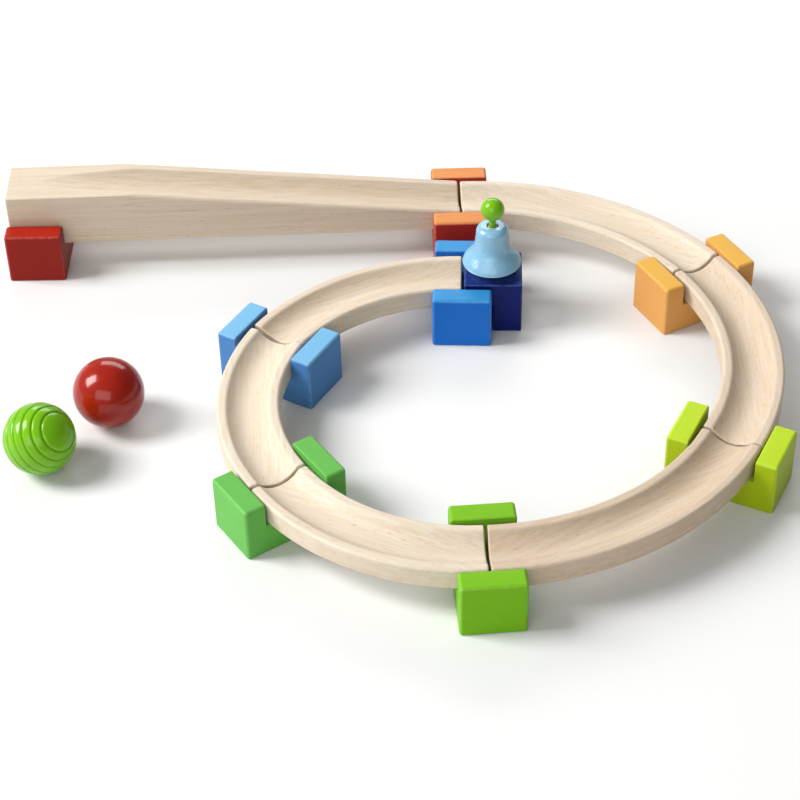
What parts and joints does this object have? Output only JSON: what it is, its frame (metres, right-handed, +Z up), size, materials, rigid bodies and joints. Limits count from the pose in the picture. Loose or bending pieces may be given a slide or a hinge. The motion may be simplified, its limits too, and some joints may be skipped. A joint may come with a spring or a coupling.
{
  "type": "marble run",
  "caption": "Toddler ball track: straight ramp and curved wooden tracks lying end to end in slotted painted blocks, a bell at the end of the run and loose balls.",
  "frame": {"origin": "middle of the layout's bounding box, on the table top", "axes": "+X along the ramp from its high end to its low end, +Y towards the ramp side of the layout, +Z up from the table"},
  "size_m": [0.5074, 0.4242, 0.0928],
  "materials": {
    "beech": "fine-sanded bare beech with straight grain and small flecks",
    "red_paint": "satin water-based paint on beech",
    "orange_paint": "satin water-based paint on beech",
    "yellow_paint": "satin water-based paint on beech",
    "lime_paint": "satin water-based paint on beech",
    "bright_green_paint": "satin water-based paint on beech",
    "mid_green_paint": "satin water-based paint on beech",
    "sky_blue_paint": "satin water-based paint on beech",
    "blue_paint": "satin water-based paint on beech",
    "navy_paint": "satin water-based paint on beech",
    "bell_metal": "glossy enamel on sheet metal",
    "knob_lacquer": "glossy lacquer on wood",
    "red_ball_lacquer": "glossy lacquer on turned wood",
    "green_ball_lacquer": "glossy lacquer on turned wood"
  },
  "bodies": {
    "base": {"red_block": "red_paint", "orange_block": "orange_paint", "yellow_block": "yellow_paint", "lime_block": "lime_paint", "bright_green_block": "bright_green_paint", "mid_green_block": "mid_green_paint", "sky_blue_block": "sky_blue_paint", "blue_block": "blue_paint"},
    "ramp": {"ramp": "beech"},
    "large_curve_1": {"large_curve_1": "beech"},
    "large_curve_2": {"large_curve_2": "beech"},
    "large_curve_3": {"large_curve_3": "beech"},
    "small_curve_1": {"small_curve_1": "beech"},
    "small_curve_2": {"small_curve_2": "beech"},
    "small_curve_3": {"small_curve_3": "beech"},
    "bell_stand": {"bell_block": "navy_paint", "bell_post": "beech", "bell_knob": "knob_lacquer"},
    "bell": {"bell": "bell_metal"},
    "red_ball": {"red_ball": "red_ball_lacquer"},
    "grooved_ball": {"grooved_ball": "green_ball_lacquer"}
  },
  "joints": [
    {"name": "ramp_lift", "type": "slide", "parent": "base", "child": "ramp", "axis": [0, 0, 1], "range_m": [0, 0.03]},
    {"name": "large_curve_1_lift", "type": "slide", "parent": "base", "child": "large_curve_1", "axis": [0, 0, 1], "range_m": [0, 0.03]},
    {"name": "large_curve_2_lift", "type": "slide", "parent": "base", "child": "large_curve_2", "axis": [0, 0, 1], "range_m": [0, 0.03]},
    {"name": "large_curve_3_lift", "type": "slide", "parent": "base", "child": "large_curve_3", "axis": [0, 0, 1], "range_m": [0, 0.03]},
    {"name": "small_curve_1_lift", "type": "slide", "parent": "base", "child": "small_curve_1", "axis": [0, 0, 1], "range_m": [0, 0.03]},
    {"name": "small_curve_2_lift", "type": "slide", "parent": "base", "child": "small_curve_2", "axis": [0, 0, 1], "range_m": [0, 0.03]},
    {"name": "small_curve_3_lift", "type": "slide", "parent": "base", "child": "small_curve_3", "axis": [0, 0, 1], "range_m": [0, 0.03]},
    {"name": "bell_stand_lift", "type": "slide", "parent": "base", "child": "bell_stand", "axis": [0, 0, 1], "range_m": [0, 0.03]},
    {"name": "bell_rock", "type": "hinge", "parent": "bell_stand", "child": "bell", "pos_m": [0.07607, 0.0851, 0.06765], "axis": [0.0698, 0.9976, 0], "range_deg": [-8, 8]},
    {"name": "red_ball_roll", "type": "hinge", "parent": "base", "child": "red_ball", "pos_m": [-0.1724, -0.0111, 0.0225], "axis": [0, 1, 0], "continuous": true},
    {"name": "grooved_ball_roll", "type": "hinge", "parent": "base", "child": "grooved_ball", "pos_m": [-0.2118, -0.0534, 0.0225], "axis": [0, 1, 0], "continuous": true}
  ]
}
